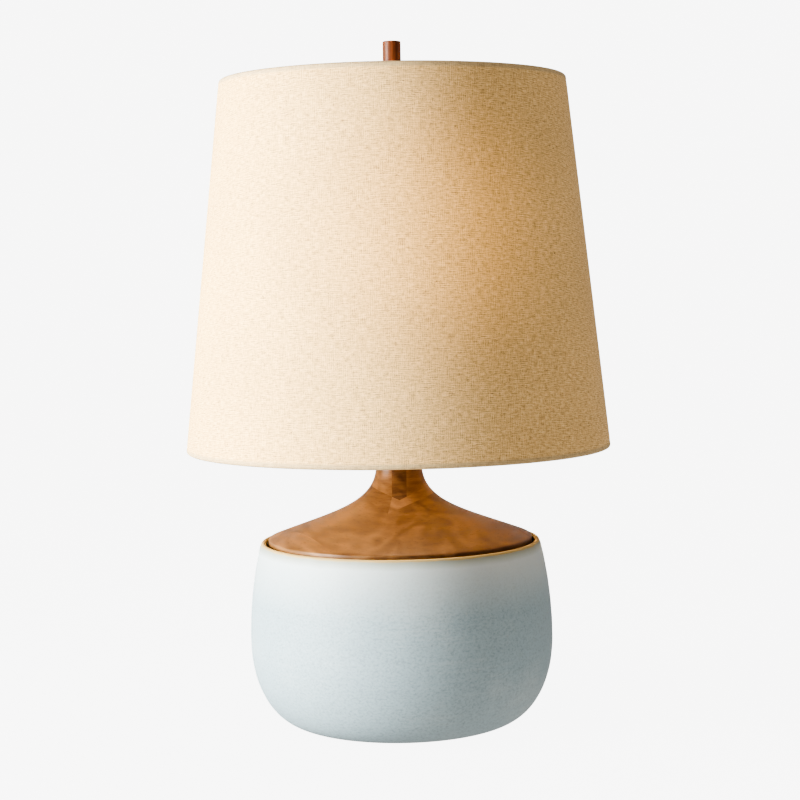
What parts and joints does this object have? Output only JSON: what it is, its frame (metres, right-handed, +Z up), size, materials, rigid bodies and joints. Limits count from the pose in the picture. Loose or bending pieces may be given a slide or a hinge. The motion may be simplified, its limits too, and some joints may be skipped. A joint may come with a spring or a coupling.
{
  "type": "table lamp",
  "caption": "Table lamp with a round stoneware bowl, a flared wooden cap, a detachable harp and a tapered linen drum shade.",
  "frame": {"origin": "on the lamp's vertical axis, at the underside of its felt pad, where it stands on the table", "axes": "+Z up along the lamp's axis, -Y the front, the side of the switch knob, and +X to the right seen from the front, in the plane of the harp"},
  "size_m": [0.3808, 0.3808, 0.6125],
  "materials": {
    "felt": "matt felt",
    "stoneware": "matt pale blue-grey glaze",
    "wood": "satin oiled",
    "walnut": "semi-gloss",
    "linen": "woven linen",
    "styrene": "satin",
    "brass": "satin",
    "steel": "zinc plated",
    "nickel": "nickel plated",
    "white_wire": "powder coated",
    "phenolic": "moulded",
    "rubber": "moulded",
    "fibre": "vulcanised fibre",
    "frosted_glass": "frosted",
    "black_glass": "polished"
  },
  "bodies": {
    "base": {"felt_pad": "felt", "ceramic_body": "stoneware", "cord_grommet": "rubber", "bottom_rubber_washer": "rubber", "bottom_steel_washer": "steel", "bottom_lock_washer": "steel", "bottom_hex_nut": "steel", "threaded_pipe": "steel", "wood_cap": "wood", "neck_collar": "brass", "neck_lock_nut": "steel", "harp_saddle": "nickel", "socket_cap": "brass", "socket_set_screw": "steel", "socket_shell": "brass", "socket_insulator": "fibre", "socket_body": "phenolic", "socket_screw_shell": "brass", "socket_centre_contact": "brass", "terminal_screw_hot": "brass", "terminal_screw_neutral": "nickel"},
    "harp": {"harp_loop": "nickel"},
    "ferrule_left": {"harp_ferrule_left": "nickel"},
    "ferrule_right": {"harp_ferrule_right": "nickel"},
    "stud": {"harp_stud": "brass"},
    "shade": {"shade_fabric": "linen", "shade_liner": "styrene", "shade_top_ring": "white_wire", "shade_bottom_ring": "white_wire", "spider_hub": "white_wire", "spider_arm_1": "white_wire", "spider_arm_2": "white_wire", "spider_arm_3": "white_wire"},
    "finial": {"finial_rod": "walnut", "finial_insert": "brass"},
    "switch": {"switch_shaft": "brass", "switch_knob": "phenolic"},
    "bulb": {"bulb_glass": "frosted_glass", "bulb_screw_base": "nickel", "bulb_insulator": "black_glass", "bulb_contact": "steel"}
  },
  "joints": [
    {"name": "harp_lift", "type": "slide", "parent": "base", "child": "harp", "axis": [0, 0, 1], "range_m": [0, 0.14]},
    {"name": "ferrule_left_slide", "type": "slide", "parent": "harp", "child": "ferrule_left", "axis": [0, 0, 1], "range_m": [0, 0.012]},
    {"name": "ferrule_right_slide", "type": "slide", "parent": "harp", "child": "ferrule_right", "axis": [0, 0, 1], "range_m": [0, 0.012]},
    {"name": "shade_swivel", "type": "hinge", "parent": "harp", "child": "stud", "pos_m": [0, 0, 0.5595], "axis": [0, 0, 1], "continuous": true},
    {"name": "shade_lift", "type": "slide", "parent": "stud", "child": "shade", "axis": [0, 0, 1], "range_m": [0, 0.33]},
    {"name": "finial_unscrew", "type": "slide", "parent": "shade", "child": "finial", "axis": [0, 0, 1], "range_m": [0, 0.03]},
    {"name": "switch_knob_turn", "type": "hinge", "parent": "base", "child": "switch", "pos_m": [0, 0, 0.313], "axis": [0, -1, 0], "continuous": true},
    {"name": "bulb_unscrew", "type": "slide", "parent": "base", "child": "bulb", "axis": [0, 0, 1], "range_m": [0, 0.028]}
  ]
}
